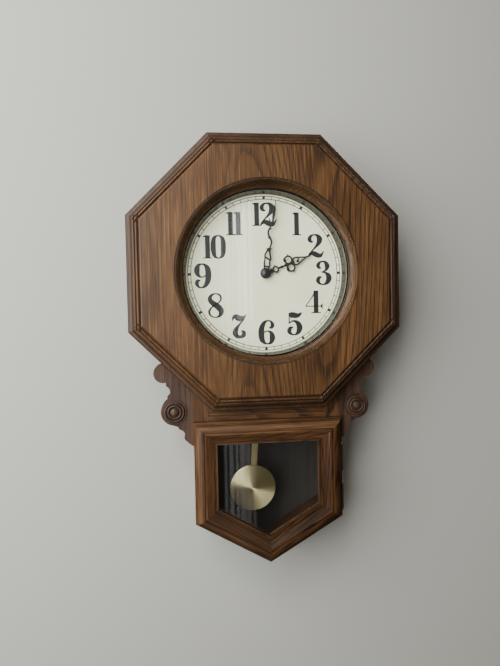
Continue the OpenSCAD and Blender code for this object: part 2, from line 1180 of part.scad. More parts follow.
module circuit_board() {
    color("darkgreen")
        on_axis() {
            slab(move_back + move_wall, 61)
                translate([5, 19])
                    square([29, 14]);
            slab(61, 62.4)
                translate([14, 22])
                    square([9, 8]);
            slab(61, 64)
                translate([28.5, 26])
                    circle(1.6);
        }
}

// Laminated stator round the rotor, with a core bar for the coil
module motor_stator() {
    color("silver")
        on_axis()
            slab(64.4, 66.6)
                difference() {
                    union() {
                        translate([rotor_at[0] - 5.6, -43])
                            square([11.2, 23]);
                        translate([rotor_at[0], -43])
                            square([30, 4.4]);
                    }
                    translate(rotor_at)
                        circle(3.5);
                }
}

module motor_coil() {
    length = 18;
    color("chocolate")
        on_axis()
            translate([rotor_at[0] + 8, -65.5, -40.8])
                rotate([0, 90, 0])
                    difference() {
                        cylinder(h = length, r = 4.6);
                        translate([-2.2, -1.1, -1])
                            cube([4.4, 2.2, length + 2]);
                    }
}

module pendulum_coil() {
    color("chocolate")
        at([0, drive_coil_rel])
            slab(move_back + move_wall, move_back + move_wall + 4)
                difference() {
                    circle(8);
                    circle(2.5);
                }
}

module battery() {
    length = 49;
    r = 7;
    color("steelblue")
        translate([battery_at[0], -(move_back + 8.6), battery_at[1] - hanger_rise]) {
            cylinder(h = length, r = r, center = true);
            cylinder(h = length + 2.4, r = 2.6, center = true);
        }
}

// ---------- hands ----------

// Small shapes that a hand is built from, hand_t thick, placed by their centre
module dot(x, z, r) {
    slab(0, hand_t)
        translate([x, z])
            circle(r);
}

module eye(x, z, outer, inner) {
    slab(0, hand_t)
        translate([x, z])
            difference() {
                circle(outer);
                circle(inner);
            }
}

module bar(x, z, width, height, turn = 0) {
    slab(0, hand_t)
        translate([x, z])
            rotate(turn)
                square([width, height], center = true);
}

module barb(x, z, side) {
    slab(0, hand_t)
        translate([x, z])
            polygon([[-side, -1.8], [side * 3.4, 0.6], [-side, 2]]);
}

// Point at share u between b and c on a smooth curve through four points
function between(a, b, c, d, u) =
    0.5 * (2 * b + (c - a) * u + (2 * a - 5 * b + 4 * c - d) * u * u
        + (3 * b - a - 3 * c + d) * u * u * u);

function smooth_line(p) = [
    for (i = [0 : len(p) - 2], k = [0 : 4])
        between(p[max(i - 1, 0)], p[i], p[i + 1], p[min(i + 2, len(p) - 1)], k / 5),
    p[len(p) - 1]
];

// One edge of a ribbon along the line, on the side given as 1 or -1
function ribbon_edge(p, side) = [
    for (i = [0 : len(p) - 1])
        let (
            from = p[max(i - 1, 0)],
            to = p[min(i + 1, len(p) - 1)],
            step = [to[0] - from[0], to[1] - from[1]] * side * p[i][2] / 2,
            run = norm([to[0] - from[0], to[1] - from[1]])
        )
        [p[i][0] - step[1] / run, p[i][1] + step[0] / run]
];

// Curved strip through points given as [x, z, width]
module ribbon(points) {
    line = smooth_line(points);
    right = ribbon_edge(line, -1);
    slab(0, hand_t)
        polygon([
            for (q = ribbon_edge(line, 1))
                q,
            for (i = [len(right) - 1 : -1 : 0])
                right[i]
        ]);
}

// A hand's tip, given as half widths and heights going up
module tip(points) {
    n = len(points);
    slab(0, hand_t)
        polygon([
            for (i = [0 : 2 * n - 1])
                i < n ? points[i] : [-points[2 * n - 1 - i][0], points[2 * n - 1 - i][1]]
        ]);
}

// Two scrolled cells, an S curve and a barbed spear
module minute_hand_shape() {
    difference() {
        union() {
            dot(0, 0, 8.6);
            ribbon([[-2.6, 6, 3.2], [-4.2, 14, 2.6], [-4.2, 22, 2.4], [-4.8, 28, 2.6],
                [-2, 35.4, 3]]);
            ribbon([[2.6, 6, 3.2], [4.6, 12, 2.7], [3.8, 18, 2.6], [4.6, 23, 2.8],
                [3, 29, 2.7], [1.4, 35.4, 3.2]]);
            ribbon([[-4.4, 25.4, 2], [0, 22.6, 2.6], [5, 20.8, 2.2]]);
            bar(0, 10.6, 8, 2.6);
            dot(0, 36.5, 3.3);
            barb(-2, 37, -1);
            barb(2.6, 38, 1);
            ribbon([[0.4, 36, 3.4], [1.6, 42, 2.8], [2.4, 48.6, 3.1], [0, 54, 3.1],
                [-3.8, 59, 3], [-4.8, 64, 2.9], [-3.4, 69.6, 2.6], [-1.2, 75, 2.6],
                [0, 80, 3]]);
            barb(-2.2, 54.6, -1);
            barb(-2.4, 68.6, 1);
            ribbon([[-0.6, 77, 2.6], [3.2, 79.6, 2.6], [5.4, 85, 0.9]]);
            ribbon([[0.2, 77, 2.6], [-3.8, 79.4, 2.6], [-6, 84.4, 0.9]]);
            tip([
                [1.4, 78], [1.5, 84], [2.3, 90], [2.3, 100], [0.8, 106], [0.4, minute_len]
            ]);
        }
        rod(-1, hand_t + 1, minute_shaft_r);
    }
}

// A small eye, a pair of rings and an open leaf with a curl in it
module hour_hand_shape() {
    difference() {
        union() {
            dot(0, 0, 7);
            bar(0, 7, 3.2, 12);
            bar(0, 10.6, 8.4, 2.6);
            eye(0, 17.5, 5.4, 2.9);
            bar(0, 28.6, 2.8, 14);
            dot(0, 28, 2.2);
            dot(0, 35.4, 2.7);
            dot(0, 47, 2.8);
            for (side = [-1, 1]) {
                barb(side * 4.2, 17.5, side);
                eye(side * 6.4, 41.2, 7, 4.5);
                dot(side * 7, 35.8, 2.4);
                barb(side * 12.4, 43, side);
                barb(side * 8.8, 34.9, side);
                ribbon([[0, 46.8, 2.6], [side * 4.6, 49, 2.5], [side * 5.6, 53, 2.4],
                    [side * 3.6, 59.4, 2.3], [side * 0.6, 67.6, 2.4]]);
            }
            ribbon([[-5, 57.4, 2], [-2, 56.6, 2.2], [1, 55, 2.4]]);
            dot(1.1, 54.6, 2.1);
            tip([[1.6, 66], [1.2, 73.4], [2.2, 74.6], [1, 75.8], [0.4, hour_len]]);
        }
        rod(-1, hand_t + 1, hour_pipe_r);
    }
}

module minute_hand() {
    color(hand_colour)
        on_axis()
            translate([0, -hub_high, 0])
                rotate([0, minute_angle, 0])
                    minute_hand_shape();
}

module hour_hand() {
    color(hand_colour)
        on_axis()
            translate([0, -hub_low, 0])
                rotate([0, hour_angle, 0])
                    hour_hand_shape();
}

// Domed cap nut on the end of the minute arbor
module hand_nut() {
    low = hub_high + hand_t;
    color(hand_colour)
        on_axis()
            difference() {
                turned()
                    difference() {
                        intersection() {
                            translate([0, low - 6.6])
                                circle(11);
                            translate([0, low])
                                square([8.4, 8]);
                        }
                        translate([6.2, low + 2.5])
                            circle(0.5);
                    }
                rod(low - 1, hub_high + 3, minute_shaft_r);
            }
}

// ---------- pendulum ----------

// Moves to the pendulum's pivot and tilts it to its place at rest
module on_pivot() {
    translate([0, 0, -hanger_rise - pivot_drop])
        rotate([0, pendulum_tilt, 0])
            children();
}

module pendulum_hanger() {
    color("ivory")
        on_pivot() {
            slab(lever_low, lever_high)
                difference() {
                    union() {
                        circle(4);
                        translate([-3.4, -hook_drop - 4])
                            square([6.8, hook_drop + 4]);
                        translate([0, -magnet_drop])
                            circle(6.6);
                    }
                    circle(hanger_pin_r + run_gap);
                    translate([0, -magnet_drop])
                        circle(4.5);
                }
            translate([0, 0, -hook_drop]) {
                rod(lever_low - rod_t - 1.8, lever_low, 1.5);
                rod(lever_low - rod_t - 1.8, lever_low - rod_t - 0.4, 2.6);
            }
        }
}

module drive_magnet() {
    color("silver")
        on_pivot()
            translate([0, 0, -magnet_drop])
                rod(lever_low, lever_high, 4.5);
}

module pendulum_rod() {
    width = 10;
    color(brass_colour)
        on_pivot()
            slab(lever_low - rod_t, lever_low)
                difference() {
                    union() {
                        translate([0, -hook_drop])
                            circle(width / 2);
                        translate([-width / 2, -pendulum_len - bob_d / 4])
                            square([width, pendulum_len + bob_d / 4 - hook_drop]);
                    }
                    translate([0, -hook_drop])
                        circle(1.5);
                }
}

// Bob: a spun disc with a rolled edge and a slightly domed front
module pendulum_bob() {
    r = bob_d / 2;
    edge = 1.5;
    dome = 2.2;
    curve = (pow(r, 2) + pow(dome, 2)) / (2 * dome);
    front = lever_low + 2 * edge;
    color(brass_colour)
        on_pivot()
            translate([0, 0, -pendulum_len])
                turned() {
                    translate([0, lever_low])
                        square([r - edge, 2 * edge]);
                    intersection() {
                        translate([r - edge, lever_low + edge])
                            circle(edge);
                        translate([0, lever_low])
                            square([r, 2 * edge]);
                    }
                    intersection() {
                        translate([0, front + dome - curve])
                            circle(curve, $fn = 360);
                        translate([0, front])
                            square([r - edge, dome]);
                    }
                }
}

octagon_frame();
bezel_glass();
glass_retaining_ring();
octagon_hinge_leaves();
drum_top();
drum_left();
drum_right();
drum_bottom_boards();
box_left_side();
box_right_side();
box_bottom_left();
box_bottom_right();
face_left_stile();
face_right_stile();
throat_rail();
left_scroll_bracket();
right_scroll_bracket();
bracket_rosettes();
back_panel();
access_cover();
hanger_plate();
case_screws();
case_hinge_leaves();
hinge_pins();
catch_magnets();
dial_board();
dial_plate();
dial_ring();
movement_front_case();
movement_back_case();
movement_bushing();
bushing_nut();
circuit_board();
motor_coil();
motor_stator();
pendulum_coil();
battery();
door_top_rail();
door_left_stile();
door_right_stile();
door_lower_left_rail();
door_lower_right_rail();
door_glass();
door_glass_stops();
door_hinge_leaves();
centre_wheel();
minute_hand();
hand_nut();
hour_wheel();
hour_hand();
minute_wheel();
third_wheel();
seconds_wheel();
intermediate_wheel();
motor_rotor();
set_knob();
pendulum_hanger();
drive_magnet();
pendulum_rod();
pendulum_bob();
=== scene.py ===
import json
import math

import bmesh
import bpy
from mathutils import Euler, Matrix, Vector


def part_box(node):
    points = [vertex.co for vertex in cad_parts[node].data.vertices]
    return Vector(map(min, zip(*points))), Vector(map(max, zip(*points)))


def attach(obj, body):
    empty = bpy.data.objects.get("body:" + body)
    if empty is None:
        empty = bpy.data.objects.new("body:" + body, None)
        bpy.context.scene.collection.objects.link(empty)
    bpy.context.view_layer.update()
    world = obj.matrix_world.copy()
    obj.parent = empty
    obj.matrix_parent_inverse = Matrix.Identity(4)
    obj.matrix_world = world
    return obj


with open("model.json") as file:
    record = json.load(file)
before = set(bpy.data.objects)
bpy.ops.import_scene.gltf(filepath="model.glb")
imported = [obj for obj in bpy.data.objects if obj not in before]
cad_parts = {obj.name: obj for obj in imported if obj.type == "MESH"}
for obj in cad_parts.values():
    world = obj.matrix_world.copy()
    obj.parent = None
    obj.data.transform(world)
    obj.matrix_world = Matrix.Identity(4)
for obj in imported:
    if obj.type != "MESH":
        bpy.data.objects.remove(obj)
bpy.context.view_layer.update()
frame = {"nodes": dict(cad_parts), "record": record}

MM = 0.001
TAU = 2 * math.pi


def middle(node):
    """Middle of a CAD node's box."""
    low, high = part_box(node)
    return (low + high) / 2


DIAL = middle("dial_plate")
DIAL_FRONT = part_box("dial_plate")[0].y
OCTAGON_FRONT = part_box("octagon_frame")[0].y


def srgb(red, green, blue):
    """Linear colour of an 8 bit screen colour."""
    linear = []
    for part in (red, green, blue):
        share = part / 255
        linear.append(share / 12.92 if share <= 0.04045 else ((share + 0.055) / 1.055) ** 2.4)
    return (*linear, 1.0)


def scaled_colour(colour, factor):
    """A linear colour made brighter or darker."""
    return tuple(part * factor for part in colour[:3]) + (1.0,)


def add_object(name, data):
    """A new object, in the scene's own collection."""
    made = bpy.data.objects.new(name, data)
    bpy.context.scene.collection.objects.link(made)
    return made


# ---------- node trees ----------


class Tree:
    """A material and short ways to add nodes to it."""

    # A Mix node has sockets for each kind of data: these are the ones for colours
    MIX_SHARE, MIX_FIRST, MIX_SECOND, MIX_RESULT = 0, 6, 7, 2

    def __init__(self, name):
        self.material = bpy.data.materials.new(name)
        self.material.use_nodes = True
        self.tree = self.material.node_tree
        self.tree.nodes.clear()
        self.output = self.tree.nodes.new("ShaderNodeOutputMaterial")

    def put(self, socket, value):
        if isinstance(value, bpy.types.NodeSocket):
            self.tree.links.new(value, socket)
        else:
            socket.default_value = value

    def node(self, kind, settings=None, **inputs):
        made = self.tree.nodes.new("ShaderNode" + kind)
        for name, value in (settings or {}).items():
            setattr(made, name, value)
        for name, value in inputs.items():
            self.put(made.inputs[name.replace("_", " ")], value)
        return made

    def math(self, operation, *values, clamp=False):
        made = self.node("Math", {"operation": operation, "use_clamp": clamp})
        for socket, value in zip(made.inputs, values):
            self.put(socket, value)
        return made.outputs[0]

    def add(self, first, second):
        return self.math("ADD", first, second)

    def minus(self, first, second):
        return self.math("SUBTRACT", first, second)

    def times(self, first, second):
        return self.math("MULTIPLY", first, second)

    def length(self, first, second):
        """Distance of a point from the origin of a plane."""
        squares = self.add(self.math("POWER", first, 2.0), self.math("POWER", second, 2.0))
        return self.math("SQRT", squares)

    def vector(self, operation, *values):
        made = self.node("VectorMath", {"operation": operation})
        for socket, value in zip(made.inputs, values):
            self.put(socket, value)
        return made.outputs[0]

    def join(self, x, y, z):
        return self.node("CombineXYZ", X=x, Y=y, Z=z).outputs[0]

    def split(self, vector):
        return self.node("SeparateXYZ", Vector=vector).outputs

    def place(self):
        return self.node("TexCoord").outputs["Object"]

    def turned(self, vector, angles):
        made = self.node("Mapping", Vector=vector)
        made.inputs["Rotation"].default_value = angles
        return made.outputs[0]

    def noise(self, vector, scale, detail=3.0, rough=0.55):
        made = self.node("TexNoise", Vector=vector, Scale=scale, Detail=detail, Roughness=rough)
        return made.outputs["Fac"]

    def drawn_noise(self, place, across, along, detail=2.0, rough=0.6):
        """Noise with its own scale across the Z axis and along it."""
        stretched = self.vector("MULTIPLY", place, (across, across, along))
        return self.noise(stretched, 1.0, detail, rough)

    def step(self, value, low, high, to_low=0.0, to_high=1.0):
        made = self.node("MapRange", {"interpolation_type": "SMOOTHSTEP"}, Value=value)
        for name, bound in (("From Min", low), ("From Max", high),
                            ("To Min", to_low), ("To Max", to_high)):
            self.put(made.inputs[name], bound)
        return made.outputs[0]

    def mix(self, share, first, second, blend="MIX"):
        made = self.node("Mix", {"data_type": "RGBA", "blend_type": blend})
        self.put(made.inputs[self.MIX_SHARE], share)
        self.put(made.inputs[self.MIX_FIRST], first)
        self.put(made.inputs[self.MIX_SECOND], second)
        return made.outputs[self.MIX_RESULT]

    def bump(self, height, strength, distance):
        return self.node("Bump", Strength=strength, Distance=distance, Height=height).outputs[0]

    def shade(self, **inputs):
        """Ends the material in one principled shader."""
        shader = self.node("BsdfPrincipled", **inputs)
        self.put(self.output.inputs["Surface"], shader.outputs[0])
        return self.material

    def shade_two(self, share, first, second):
        """Ends the material in a mixture of two shaders."""
        both = self.node("MixShader")
        for socket, value in zip(both.inputs, (share, first.outputs[0], second.outputs[0])):
            self.put(socket, value)
        self.put(self.output.inputs["Surface"], both.outputs[0])
        return self.material


# ---------- timber ----------

# Turns that bring a board's grain onto the Z axis
GRAIN_UP = (0.0, 0.0, 0.0)
GRAIN_ACROSS = (0.0, math.pi / 2, 0.0)
GRAIN_RISING = (0.0, math.radians(-60), 0.0)
GRAIN_FALLING = (0.0, math.radians(60), 0.0)

RINGS_PER_METRE = 240.0
# Where the tree's heart lies from a board: the range of its places to either side, in
# widths of the board, its least distance behind the face and the most that chance adds
# to it, in metres, and the range of its slope
HEART_ASIDE = 1.5
HEART_BEHIND = 0.06
HEART_FURTHER = 0.04
HEART_LEAN = 0.26

# Stains: the dark, middle and light colours of the wood under them. The last set is a darker
# copy that paints shade on the door's right stile, its lower rails and the box's bottom boards
OAK_TONES = ((33, 17, 8), (65, 40, 19), (97, 66, 37))
DARK_TONES = ((30, 17, 12), (60, 40, 29), (84, 59, 44))
RAIL_TONES = ((26, 13, 6), (62, 38, 20), (98, 66, 39))
PAINTED_SHADE_TONES = ((18, 9, 4), (44, 26, 13), (74, 48, 27))

# The octagon's edge: each quirk's distance from the rim and half width in mm, and how
# much it is darkened, by stain and painted shade together
QUIRKS = ((9.6, 1.3, 0.10), (14.9, 0.8, 0.10), (21.2, 1.1, 0.20))
# Darkening of the quirks, stain and painted shade, and of the painted shadow line round the
# opening
GROOVE_STAIN_AND_SHADE = srgb(30, 15, 7)
MOULDING_STAIN = srgb(40, 24, 14)
RIM_STAIN = srgb(40, 26, 18)
# A painted shadow line round the opening: its radius and half width
OPENING_SHADOW_RADIUS = 139.2 * MM
OPENING_SHADOW_WIDTH = 1.6 * MM


def growth_rings(t, place, seed, board_w):
    """Dark early wood of boards cut from beside a tree's heart, so that arches show
    on their faces, with a number that differs from board to board."""
    x, y, z = t.split(place)
    along = t.add(t.math("DIVIDE", x, board_w), seed * 0.37)
    lane = t.math("FLOOR", along)
    chance = t.node("TexWhiteNoise", {"noise_dimensions": "2D"},
                    Vector=t.join(lane, seed, 0.0)).outputs
    a, b, c = t.split(chance["Color"])
    heart = t.times(t.minus(a, 0.5), board_w * HEART_ASIDE)
    across = t.minus(t.times(t.minus(t.math("FRACT", along), 0.5), board_w), heart)
    lean = t.times(t.minus(b, 0.5), HEART_LEAN)
    leaned = t.add(t.minus(y, OCTAGON_FRONT), t.times(t.minus(z, DIAL.z), lean))
    deep = t.add(leaned, t.add(t.times(c, HEART_FURTHER), HEART_BEHIND))
    radius = t.length(across, deep)
    wander = t.drawn_noise(place, 11.0, 2.0, rough=0.55)
    ripple = t.drawn_noise(place, 90.0, 14.0, rough=0.55)
    radius = t.add(radius, t.times(wander, 0.014))
    radius = t.add(radius, t.times(ripple, 0.0016))
    year = t.math("FRACT", t.times(radius, RINGS_PER_METRE))
    early = t.times(t.step(year, 0.0, 0.08), t.step(year, 0.50, 0.16))
    return early, chance["Value"]


def oak(name, grain, seed, tones, rough=0.42, board_w=0.13, stain_and_shade=None, shine=0.26):
    """Stained oak under thin varnish. Its rings show fully right of the clock's middle
    and faintly at the left, as if those boards were cut on the quarter."""
    t = Tree(name)
    figure = t.step(t.split(t.place())[0], -0.08, 0.02, 0.3, 1.0)
    place = t.turned(t.place(), grain)
    early, chance = growth_rings(t, place, seed, board_w)
    early = t.times(early, figure)
    place = t.vector("ADD", place, (seed * 0.13, seed * 0.31, seed * 0.71))
    pores = t.drawn_noise(place, 1700.0, 70.0)
    dashes = t.drawn_noise(place, 800.0, 30.0)
    fibres = t.drawn_noise(place, 520.0, 9.0)
    streaks = t.drawn_noise(place, 210.0, 4.0, detail=3.0)
    cloud = t.drawn_noise(place, 22.0, 7.0, detail=3.0, rough=0.55)
    broken = t.times(early, t.step(dashes, 0.32, 0.60, 0.25, 1.0))
    open_pores = t.times(t.step(dashes, 0.53, 0.66), t.add(t.times(early, 0.7), 0.3))
    fine_pores = t.step(pores, 0.56, 0.70)
    dark, mid, light = (srgb(*tone) for tone in tones)
    pitch = scaled_colour(dark, 0.35)
    bright = scaled_colour(light, 1.5)
    colour = t.mix(t.step(cloud, 0.32, 0.70, 0.0, 0.7), mid, light)
    for field, begins, full, share, tone in (
            (fibres, 0.46, 0.30, 0.60, bright), (fibres, 0.52, 0.66, 0.52, dark),
            (streaks, 0.48, 0.72, 0.20, dark), (cloud, 0.50, 0.30, 0.12, dark)):
        colour = t.mix(t.step(field, begins, full, 0.0, share), colour, tone)
    for marks, share, tone in ((broken, 0.80, dark), (open_pores, 0.60, pitch),
                               (fine_pores, 0.30, pitch)):
        colour = t.mix(t.times(marks, share), colour, tone)
    facing = t.split(t.turned(t.node("TexCoord").outputs["Normal"], grain))[2]
    end_grain = t.step(t.math("ABSOLUTE", facing), 0.25, 0.85, 0.0, 0.55)
    colour = t.mix(end_grain, colour, dark)
    tint = t.add(t.times(chance, 0.24), 0.88)
    colour = t.mix(1.0, colour, t.join(tint, tint, tint), "MULTIPLY")
    if stain_and_shade:
        colour = stain_and_shade(t, colour)
    height = t.minus(t.times(broken, -0.3), open_pores)
    gloss = t.add(t.times(open_pores, 0.3), t.add(t.times(cloud, 0.12), rough - 0.06))
    return t.shade(Base_Color=colour, Roughness=gloss, Normal=t.bump(height, 0.12, 0.0003),
                   Specular_IOR_Level=shine)


def octagon_stain(t, colour):
    """Stain and painted shade in the quirks of the octagon's edge, a painted shadow line
    round its opening, and darker stain on its moulding and rim.
    """
    x, _, z = t.split(t.vector("SUBTRACT", t.place(), tuple(DIAL)))
    x, z = t.math("ABSOLUTE", x), t.math("ABSOLUTE", z)
    slant = t.times(t.add(x, z), math.sqrt(0.5))
    reach = t.math("MAXIMUM", t.math("MAXIMUM", x, z), slant)
    low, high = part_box("octagon_frame")
    inwards = t.minus((high.x - low.x) / 2, reach)
    # Stain and painted shade in the quirks
    for place, width, share in QUIRKS:
        gap = t.math("ABSOLUTE", t.minus(inwards, place * MM))
        colour = t.mix(t.step(gap, width * MM, 0.0, 0.0, share), colour, GROOVE_STAIN_AND_SHADE)
    # Painted shadow line round the opening
    gap = t.math("ABSOLUTE", t.minus(t.length(x, z), OPENING_SHADOW_RADIUS))
    colour = t.mix(t.step(gap, OPENING_SHADOW_WIDTH, 0.0, 0.0, 0.6), colour, GROOVE_STAIN_AND_SHADE)
    colour = t.mix(t.step(inwards, 24.0 * MM, 20.0 * MM, 0.0, 0.3), colour, MOULDING_STAIN)
    return t.mix(t.step(inwards, 10.5 * MM, 8.5 * MM, 0.0, 0.5), colour, RIM_STAIN)


def dress(material, *nodes):
    """Gives CAD nodes their material."""
    for node in nodes:
        data = frame["nodes"][node].data
        data.materials.clear()
        data.materials.append(material)


def case_timber():
    dress(oak("oak_octagon", GRAIN_UP, 4, OAK_TONES, board_w=0.14, stain_and_shade=octagon_stain),
          "octagon_frame")
    dress(oak("oak_sides", GRAIN_UP, 5, OAK_TONES), "drum_left", "drum_right",
          "box_left_side", "box_right_side")
    dress(oak("oak_level", GRAIN_ACROSS, 7, OAK_TONES), "drum_top", "drum_bottom_boards")
    dress(oak("oak_throat", GRAIN_ACROSS, 11, RAIL_TONES, rough=0.40, board_w=0.09),
          "throat_rail")
    dress(oak("oak_stiles", GRAIN_UP, 13, RAIL_TONES, rough=0.40), "face_left_stile",
          "face_right_stile")
    dress(oak("oak_bracket", GRAIN_UP, 17, DARK_TONES, rough=0.56), "left_scroll_bracket",
          "right_scroll_bracket", "bracket_rosettes", "glass_retaining_ring",
          "door_glass_stops")


def door_timber():
    common = {"rough": 0.46, "board_w": 0.07}
    dress(oak("oak_door_top", GRAIN_ACROSS, 19, RAIL_TONES, **common), "door_top_rail")
    dress(oak("oak_door_left", GRAIN_UP, 23, RAIL_TONES, **common), "door_left_stile")
    # The right stile, the lower rails and the box's bottom boards take the darker tones: painted
    # shade
    dress(oak("oak_door_right", GRAIN_UP, 29, PAINTED_SHADE_TONES, shine=0.08, **common),
          "door_right_stile")
    dress(oak("oak_door_falling", GRAIN_FALLING, 31, PAINTED_SHADE_TONES, **common),
          "door_lower_left_rail", "box_bottom_left")
    dress(oak("oak_door_rising", GRAIN_RISING, 37, PAINTED_SHADE_TONES, shine=0.08, **common),
          "door_lower_right_rail", "box_bottom_right")


# ---------- other materials ----------

GLASS_TINT = (0.985, 0.992, 0.987, 1.0)
GLASS_SHINE = 1.8


def plywood():
    """Thin ply: pale at the back of the case, darker from 2 mm behind the back panel's front face
    forwards.
    """
    t = Tree("plywood")
    place = t.place()
    grain = t.drawn_noise(place, 170.0, 6.0, detail=4.0, rough=0.65)
    cloud = t.drawn_noise(place, 14.0, 4.0, rough=0.55)
    pale = t.mix(t.step(grain, 0.35, 0.7), srgb(150, 112, 72), srgb(112, 80, 48))
    pale = t.mix(t.times(cloud, 0.5), pale, srgb(170, 130, 88))
    dark = t.mix(t.step(grain, 0.35, 0.7), srgb(42, 34, 28), srgb(28, 23, 19))
    inner_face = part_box("back_panel")[0].y + 2 * MM
    inside = t.math("LESS_THAN", t.split(place)[1], inner_face)
    colour = t.mix(inside, pale, dark)
    return t.shade(Base_Color=colour, Roughness=0.72, Normal=t.bump(grain, 0.25, 0.0003))


def clear_glass(name):
    """Window glass: clear face on, with more shine at a slant. Only its front faces
    mirror, so light that has come into the sheet leaves it undimmed."""
    t = Tree(name)
    clear = t.node("BsdfTransparent", Color=GLASS_TINT)
    shine = t.node("BsdfGlossy", Color=(1.0, 1.0, 1.0, 1.0), Roughness=0.03)
    slant = t.node("Fresnel", IOR=1.5).outputs[0]
    front = t.minus(1.0, t.node("NewGeometry").outputs["Backfacing"])
    share = t.math("MULTIPLY", t.times(slant, GLASS_SHINE), front, clamp=True)
    return t.shade_two(share, clear, shine)


def enamel():
    """Warm white dial paint with faint mottling and a slight satin."""
    t = Tree("dial_enamel")
    place = t.place()
    cloud = t.noise(place, 22.0, 4.0, 0.6)
    grit = t.noise(place, 900.0, 2.0, 0.6)
    colour = t.mix(t.step(cloud, 0.3, 0.7), srgb(251, 245, 214), srgb(246, 238, 203))
    colour = t.mix(t.step(grit, 0.62, 0.75, 0.0, 0.2), colour, srgb(222, 214, 190))
    return t.shade(Base_Color=colour, Roughness=0.38, Normal=t.bump(grit, 0.06, 0.0002))


def ink():
    """Soft black printing ink."""
    t = Tree("dial_ink")
    cloud = t.noise(t.place(), 350.0, 3.0, 0.6)
    colour = t.mix(cloud, srgb(17, 18, 20), srgb(30, 31, 33))
    return t.shade(Base_Color=colour, Roughness=0.5)


def spun_metal(name, low, high, rough, turns, centre, anisotropy=0.0):
    """Metal turned on a lathe: fine rings round a Y axis through centre."""
    t = Tree(name)
    place = t.vector("SUBTRACT", t.place(), tuple(centre))
    x, y, z = t.split(place)
    rings = t.noise(t.join(t.length(x, z), 0.0, t.times(y, 0.3)), turns, 3.0, 0.6)
    cloud = t.noise(place, 60.0, 4.0, 0.6)
    colour = t.mix(rings, srgb(*low), srgb(*high))
    colour = t.mix(t.step(cloud, 0.55, 0.75, 0.0, 0.35), colour, srgb(*low))
    gloss = t.add(t.times(rings, 0.12), t.add(t.times(cloud, 0.10), rough - 0.1))
    tangent = t.node("Tangent", {"direction_type": "RADIAL", "axis": "Y"}).outputs[0]
    return t.shade(Base_Color=colour, Metallic=1.0, Roughness=gloss, Anisotropic=anisotropy,
                   Anisotropic_Rotation=0.25, Tangent=tangent, Normal=t.bump(rings, 0.12, 0.0001))


def drawn_metal(name, low, high, rough, across, along):
    """Plated or drawn metal, with fine scratches whose scale may differ along Z."""
    t = Tree(name)
    place = t.place()
    scratch = t.drawn_noise(place, across, along, detail=3.0)
    cloud = t.noise(place, 90.0, 3.0, 0.6)
    colour = t.mix(scratch, srgb(*low), srgb(*high))
    gloss = t.add(t.times(scratch, 0.15), t.add(t.times(cloud, 0.12), rough - 0.12))
    return t.shade(Base_Color=colour, Metallic=1.0, Roughness=gloss,
                   Normal=t.bump(scratch, 0.10, 0.0001))


def moulded(name, low, high, rough, metallic=0.0):
    """Moulded plastic or paint with a fine, even texture."""
    t = Tree(name)
    place = t.place()
    grit = t.noise(place, 2600.0, 2.0, 0.6)
    cloud = t.noise(place, 70.0, 3.0, 0.6)
    colour = t.mix(cloud, srgb(*low), srgb(*high))
    gloss = t.add(t.times(cloud, 0.12), rough - 0.06)
    return t.shade(Base_Color=colour, Metallic=metallic, Roughness=gloss,
                   Normal=t.bump(grit, 0.15, 0.00006))


def circuit():
    """Green board with copper tracks under its lacquer."""
    t = Tree("circuit_green")
    lanes = t.math("FRACT", t.times(t.split(t.place())[2], 420.0))
    blocks = t.noise(t.place(), 240.0, 0.0)
    track = t.times(t.step(lanes, 0.55, 0.62), t.step(blocks, 0.48, 0.52))
    colour = t.mix(track, srgb(20, 84, 48), srgb(60, 132, 78))
    return t.shade(Base_Color=colour, Roughness=0.38, Normal=t.bump(track, 0.3, 0.0001))


def winding(name, node):
    """Lacquered copper wire wound round a coil's own X axis."""
    t = Tree(name)
    x = t.split(t.vector("SUBTRACT", t.place(), tuple(middle(node))))[0]
    wires_per_metre = 3200.0
    turns = t.math("SINE", t.times(x, TAU * wires_per_metre))
    colour = t.mix(t.add(t.times(turns, 0.5), 0.5), srgb(150, 78, 40), srgb(206, 124, 72))
    return t.shade(Base_Color=colour, Metallic=0.85, Roughness=0.34,
                   Normal=t.bump(turns, 0.4, 0.0001))


def cell_jacket():
    """Battery jacket in two plain colours, with bare metal at its ends."""
    t = Tree("battery_jacket")
    z = t.split(t.place())[2]
    low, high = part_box("battery")
    length = high.z - low.z
    bare_end = 1.8 * MM
    band = t.math("GREATER_THAN", z, high.z - 0.3 * length)
    from_middle = t.math("ABSOLUTE", t.minus(z, middle("battery").z))
    ends = t.math("GREATER_THAN", from_middle, length / 2 - bare_end)
    colour = t.mix(band, srgb(34, 36, 40), srgb(196, 150, 70))
    colour = t.mix(ends, colour, srgb(196, 196, 198))
    scuff = t.noise(t.place(), 400.0, 3.0)
    return t.shade(Base_Color=colour, Metallic=t.times(ends, 0.9),
                   Roughness=t.add(t.times(scuff, 0.2), 0.22))


def boards_glass_and_dial():
    dress(plywood(), "back_panel", "dial_board")
    dress(clear_glass("glass_upper"), "bezel_glass")
    dress(clear_glass("glass_lower"), "door_glass")
    dress(enamel(), "dial_plate")


